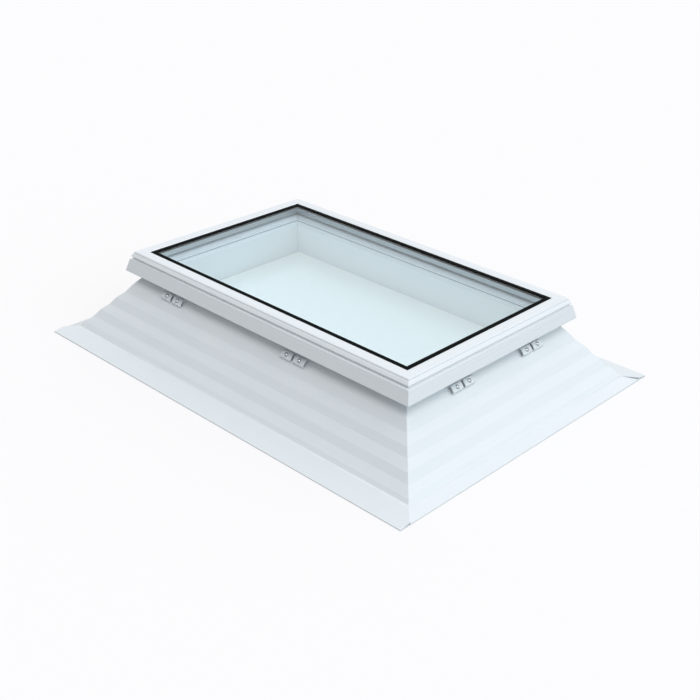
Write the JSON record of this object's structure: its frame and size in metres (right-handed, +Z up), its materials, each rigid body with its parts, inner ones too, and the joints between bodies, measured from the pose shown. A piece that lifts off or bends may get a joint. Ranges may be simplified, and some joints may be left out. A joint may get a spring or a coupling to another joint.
{
  "type": "roof skylight",
  "caption": "Fixed flat-glass roof skylight: double glazed unit in a white PVC frame on a splayed ribbed kerb with a foot flange, held by screwed brackets.",
  "frame": {"origin": "centre of the foot's underside, on the roof", "axes": "+X along the long sides, +Y along the short sides, +Z up, away from the roof"},
  "size_m": [1.41, 1.064, 0.258],
  "materials": {
    "kerb_pvc": "extruded white PVC, satin",
    "frame_pvc": "extruded white PVC, smooth",
    "bracket_paint": "white powder coat",
    "gasket_foam": "closed-cell foam rubber",
    "pane_glass": "clear float glass, faint green tint",
    "spacer_aluminium": "mill finish",
    "edge_sealant": "cast polysulphide",
    "black_rubber": "extruded EPDM, matte",
    "bedding_tape": "light closed-cell glazing tape",
    "block_plastic": "moulded",
    "stainless_steel": "polished stainless"
  },
  "bodies": {
    "root": {"kerb_front": "kerb_pvc", "kerb_back": "kerb_pvc", "kerb_left": "kerb_pvc", "kerb_right": "kerb_pvc", "kerb_gasket": "gasket_foam", "frame_front": "frame_pvc", "frame_back": "frame_pvc", "frame_left": "frame_pvc", "frame_right": "frame_pvc", "bead_front": "frame_pvc", "bead_back": "frame_pvc", "bead_left": "frame_pvc", "bead_right": "frame_pvc", "outer_pane": "pane_glass", "inner_pane": "pane_glass", "spacer_bar": "spacer_aluminium", "edge_sealant": "edge_sealant", "bed_gasket": "bedding_tape", "pane_seal": "black_rubber", "setting_blocks": "block_plastic", "bracket_front_1": "bracket_paint", "bracket_front_2": "bracket_paint", "bracket_back_1": "bracket_paint", "bracket_back_2": "bracket_paint", "bracket_left_1": "bracket_paint", "bracket_left_2": "bracket_paint", "bracket_right_1": "bracket_paint", "bracket_right_2": "bracket_paint", "bracket_screws": "stainless_steel", "bracket_washers": "stainless_steel", "flange_screws": "stainless_steel"}
  },
  "joints": []
}
